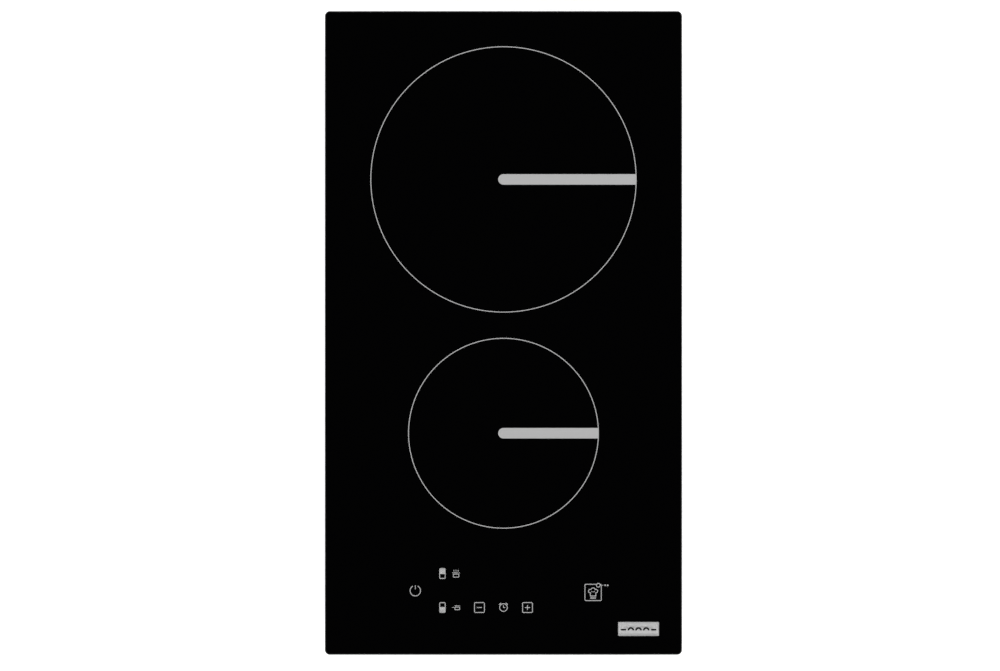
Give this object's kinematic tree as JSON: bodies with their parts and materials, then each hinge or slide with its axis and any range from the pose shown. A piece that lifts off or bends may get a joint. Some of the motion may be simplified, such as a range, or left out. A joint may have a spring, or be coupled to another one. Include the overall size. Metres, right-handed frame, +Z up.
{
  "type": "induction cooktop",
  "caption": "Narrow built-in induction cooktop: black glass with ringed cooking zones and touch controls over a steel tray with sprung coils, blower and swing-out clamps.",
  "frame": {"origin": "centre of the appliance's footprint, on the plane of the runners that its tray stands on", "axes": "+X to the user's right, +Y away from the user, +Z up through the glass"},
  "size_m": [0.2886, 0.52, 0.056],
  "materials": {
    "black_glass": "polished",
    "ceramic_print": "satin",
    "gasket_foam": "matte",
    "silicone": "satin",
    "galvanised_steel": "satin",
    "zinc_plated_steel": "satin",
    "label_film": "satin",
    "aluminium_sheet": "satin",
    "former_plastic": "matte",
    "copper_litz": "satin",
    "ferrite": "matte",
    "mica_mat": "matte",
    "sensor_silicone": "matte",
    "spring_steel": "satin",
    "lead_sleeve": "matte",
    "black_plastic": "matte",
    "circuit_board": "satin",
    "heat_sink_aluminium": "satin",
    "component_black": "satin",
    "capacitor_case": "gloss",
    "capacitor_sleeve": "gloss",
    "choke_copper": "satin",
    "transformer_core": "matte",
    "terminal_brass": "satin",
    "magnet": "matte",
    "bearing_bronze": "satin",
    "stator_steel": "matte",
    "white_plastic": "matte",
    "display_grey": "gloss",
    "ribbon_grey": "matte",
    "mains_wire": "satin"
  },
  "bodies": {
    "appliance": {"glass_plate": "black_glass", "rear_zone_print": "ceramic_print", "front_zone_print": "ceramic_print", "control_print": "ceramic_print", "name_badge": "ceramic_print", "glass_gasket": "gasket_foam", "glass_adhesive": "silicone", "tray": "galvanised_steel", "rating_label": "label_film", "clamp_screws": "zinc_plated_steel", "corner_standoffs": "zinc_plated_steel", "coil_plate": "aluminium_sheet", "board_carrier": "black_plastic", "power_board": "circuit_board", "heat_sink": "heat_sink_aluminium", "power_semiconductors": "component_black", "film_capacitors": "capacitor_case", "electrolytic_capacitors": "capacitor_sleeve", "filter_choke": "choke_copper", "supply_transformer": "transformer_core", "control_chips": "component_black", "coil_terminals": "terminal_brass", "fan_housing": "black_plastic", "fan_cover": "black_plastic", "fan_bearings": "bearing_bronze", "fan_stator": "stator_steel", "touch_board": "circuit_board", "touch_carrier": "white_plastic", "touch_springs": "spring_steel", "display_modules": "display_grey", "ribbon_cable": "ribbon_grey", "terminal_box": "black_plastic", "terminal_block": "white_plastic", "terminal_screws": "terminal_brass", "cord_clamp": "black_plastic", "mains_leads": "mains_wire", "housing_screws": "zinc_plated_steel", "chassis_screws": "zinc_plated_steel", "rear_coil_springs": "spring_steel", "rear_coil_leads": "lead_sleeve", "front_coil_springs": "spring_steel", "front_coil_leads": "lead_sleeve"},
    "rear_coil": {"rear_coil_former": "former_plastic", "rear_coil_winding": "copper_litz", "rear_coil_ferrites": "ferrite", "rear_coil_insulation": "mica_mat", "rear_temperature_sensor": "sensor_silicone"},
    "front_coil": {"front_coil_former": "former_plastic", "front_coil_winding": "copper_litz", "front_coil_ferrites": "ferrite", "front_coil_insulation": "mica_mat", "front_temperature_sensor": "sensor_silicone"},
    "fan_wheel": {"fan_rotor": "black_plastic", "fan_shaft": "spring_steel", "fan_magnet": "magnet"},
    "terminal_lid": {"terminal_cover": "black_plastic"},
    "rear_right_clamp": {"rear_right_clamp": "zinc_plated_steel"},
    "rear_left_clamp": {"rear_left_clamp": "zinc_plated_steel"},
    "front_right_clamp": {"front_right_clamp": "zinc_plated_steel"},
    "front_left_clamp": {"front_left_clamp": "zinc_plated_steel"}
  },
  "joints": [
    {"name": "rear_coil_float", "type": "slide", "parent": "appliance", "child": "rear_coil", "axis": [0, 0, 1], "range_m": [-0.002, 0], "stiffness_N_per_m": 3000, "springref_m": 0.006, "deforming": ["rear_coil_springs", "rear_coil_leads"]},
    {"name": "front_coil_float", "type": "slide", "parent": "appliance", "child": "front_coil", "axis": [0, 0, 1], "range_m": [-0.002, 0], "stiffness_N_per_m": 3000, "springref_m": 0.006, "deforming": ["front_coil_springs", "front_coil_leads"]},
    {"name": "fan_spin", "type": "hinge", "parent": "appliance", "child": "fan_wheel", "pos_m": [-0.052, 0.18, 0.014], "axis": [0, 0, 1], "continuous": true},
    {"name": "terminal_cover_hinge", "type": "hinge", "parent": "appliance", "child": "terminal_lid", "pos_m": [0.044, 0.19, 0.0058], "axis": [-1, 0, 0], "range_deg": [0, 100]},
    {"name": "rear_right_clamp_swivel", "type": "hinge", "parent": "appliance", "child": "rear_right_clamp", "pos_m": [0.11, 0.214, 0.011], "axis": [0, 0, 1], "range_deg": [0, 90]},
    {"name": "rear_left_clamp_swivel", "type": "hinge", "parent": "appliance", "child": "rear_left_clamp", "pos_m": [-0.11, 0.214, 0.011], "axis": [0, 0, -1], "range_deg": [0, 90]},
    {"name": "front_right_clamp_swivel", "type": "hinge", "parent": "appliance", "child": "front_right_clamp", "pos_m": [0.11, -0.214, 0.011], "axis": [0, 0, -1], "range_deg": [0, 90]},
    {"name": "front_left_clamp_swivel", "type": "hinge", "parent": "appliance", "child": "front_left_clamp", "pos_m": [-0.11, -0.214, 0.011], "axis": [0, 0, 1], "range_deg": [0, 90]}
  ]
}
